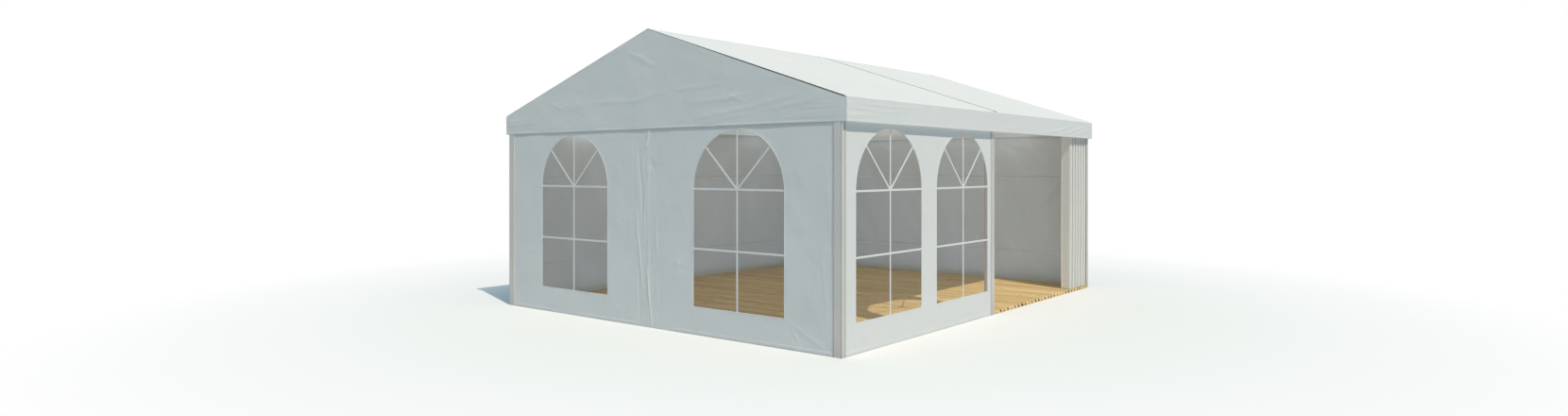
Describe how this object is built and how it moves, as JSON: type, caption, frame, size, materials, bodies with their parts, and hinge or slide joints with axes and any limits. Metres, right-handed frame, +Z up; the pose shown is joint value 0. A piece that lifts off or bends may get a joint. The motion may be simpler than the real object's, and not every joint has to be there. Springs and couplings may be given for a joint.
{
  "type": "frame marquee tent",
  "caption": "White frame marquee with a ridged roof, arched windows, an open side bay with a gathered curtain, and a timber deck.",
  "frame": {"origin": "on the ground, under the middle of the tent", "axes": "+X across the tent, towards the side with the open bay; +Y along the tent, away from the window gable; +Z up"},
  "size_m": [5.11, 6.0666, 3.1635],
  "materials": {
    "frame": "mill finish, matt",
    "roof_cloth": "white coated fabric, satin",
    "wall_cloth": "white coated fabric, satin",
    "window_film": "clear soft film",
    "deck_boards": "raw pine boards"
  },
  "bodies": {
    "root": {"post_front_left": "frame", "post_front_right": "frame", "post_mid_left": "frame", "post_mid_right": "frame", "post_back_left": "frame", "post_back_right": "frame", "rafter_front_left": "frame", "rafter_front_right": "frame", "rafter_mid_left": "frame", "rafter_mid_right": "frame", "rafter_back_left": "frame", "rafter_back_right": "frame", "ridge_beam_front": "frame", "ridge_beam_back": "frame", "eave_beam_front_left": "frame", "eave_beam_front_right": "frame", "eave_beam_back_left": "frame", "eave_beam_back_right": "frame", "gable_rail_front": "frame", "gable_rail_back": "frame", "curtain_rail": "frame", "roof_cover_front": "roof_cloth", "roof_cover_back": "roof_cloth", "valance_left": "roof_cloth", "valance_right": "roof_cloth", "gable_cover_front": "roof_cloth", "gable_cover_back": "roof_cloth", "gable_wall_front_left": "wall_cloth", "gable_wall_front_right": "wall_cloth", "gable_wall_back_left": "wall_cloth", "gable_wall_back_right": "wall_cloth", "side_wall_left_front": "wall_cloth", "side_wall_left_back": "wall_cloth", "side_wall_right_front": "wall_cloth", "curtain": "wall_cloth", "window_gable_left": "window_film", "window_gable_right": "window_film", "window_side_front": "window_film", "window_side_back": "window_film", "deck_front": "deck_boards", "deck_back": "deck_boards"}
  },
  "joints": []
}
